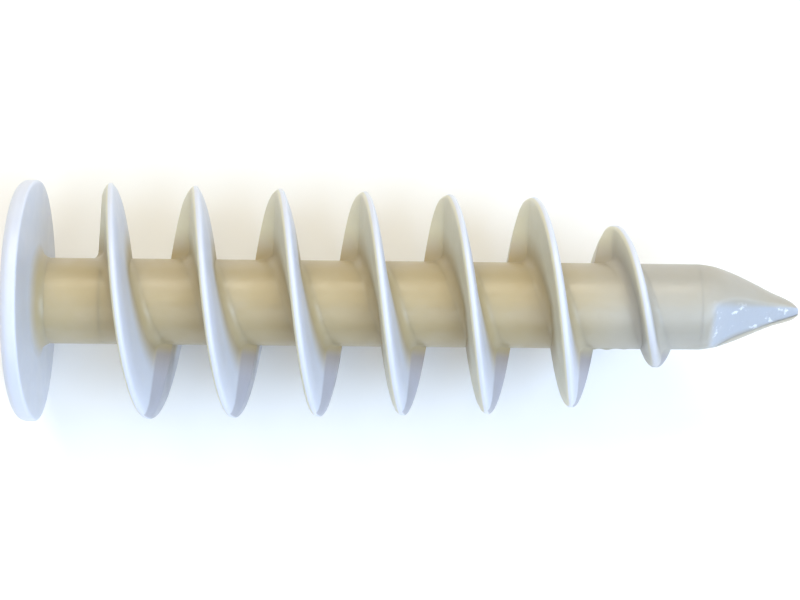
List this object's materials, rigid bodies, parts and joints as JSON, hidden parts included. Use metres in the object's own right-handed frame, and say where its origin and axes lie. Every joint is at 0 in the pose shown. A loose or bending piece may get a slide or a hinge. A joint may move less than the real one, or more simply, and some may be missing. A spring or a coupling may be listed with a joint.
{
  "type": "wall anchor",
  "caption": "Self-drilling plasterboard anchor in natural nylon: round flange, hollow shank with a coarse helical flight, and a split drill point.",
  "frame": {"origin": "centre of the flange's seat, the face that bears on the wall, on the anchor's axis", "axes": "+X along the axis from the seat into the wall, towards the drill point; +Z the way one mould half opens, which is up when the anchor lies on its side; +Y across"},
  "size_m": [0.0413, 0.0128, 0.0128],
  "materials": {
    "natural_nylon": "satin, slightly translucent, as moulded"
  },
  "bodies": {
    "moulding": {"head_flange": "natural_nylon", "drive_socket": "natural_nylon", "shank_sleeve": "natural_nylon", "thread_flight": "natural_nylon", "starter_flight": "natural_nylon"},
    "tip_upper": {"tip_half_upper": "natural_nylon"},
    "tip_lower": {"tip_half_lower": "natural_nylon"}
  },
  "joints": [
    {"name": "tip_upper_hinge", "type": "hinge", "parent": "moulding", "child": "tip_upper", "pos_m": [0.0349, 0, 0.00227], "axis": [0, -1, 0], "range_deg": [0, 35], "stiffness_Nm_per_rad": 0.0005},
    {"name": "tip_lower_hinge", "type": "hinge", "parent": "moulding", "child": "tip_lower", "pos_m": [0.0349, 0, -0.00227], "axis": [0, 1, 0], "range_deg": [0, 35], "stiffness_Nm_per_rad": 0.0005}
  ],
  "couplings": [
    {"joint": "tip_lower_hinge", "follows": "tip_upper_hinge", "ratio": 1}
  ]
}
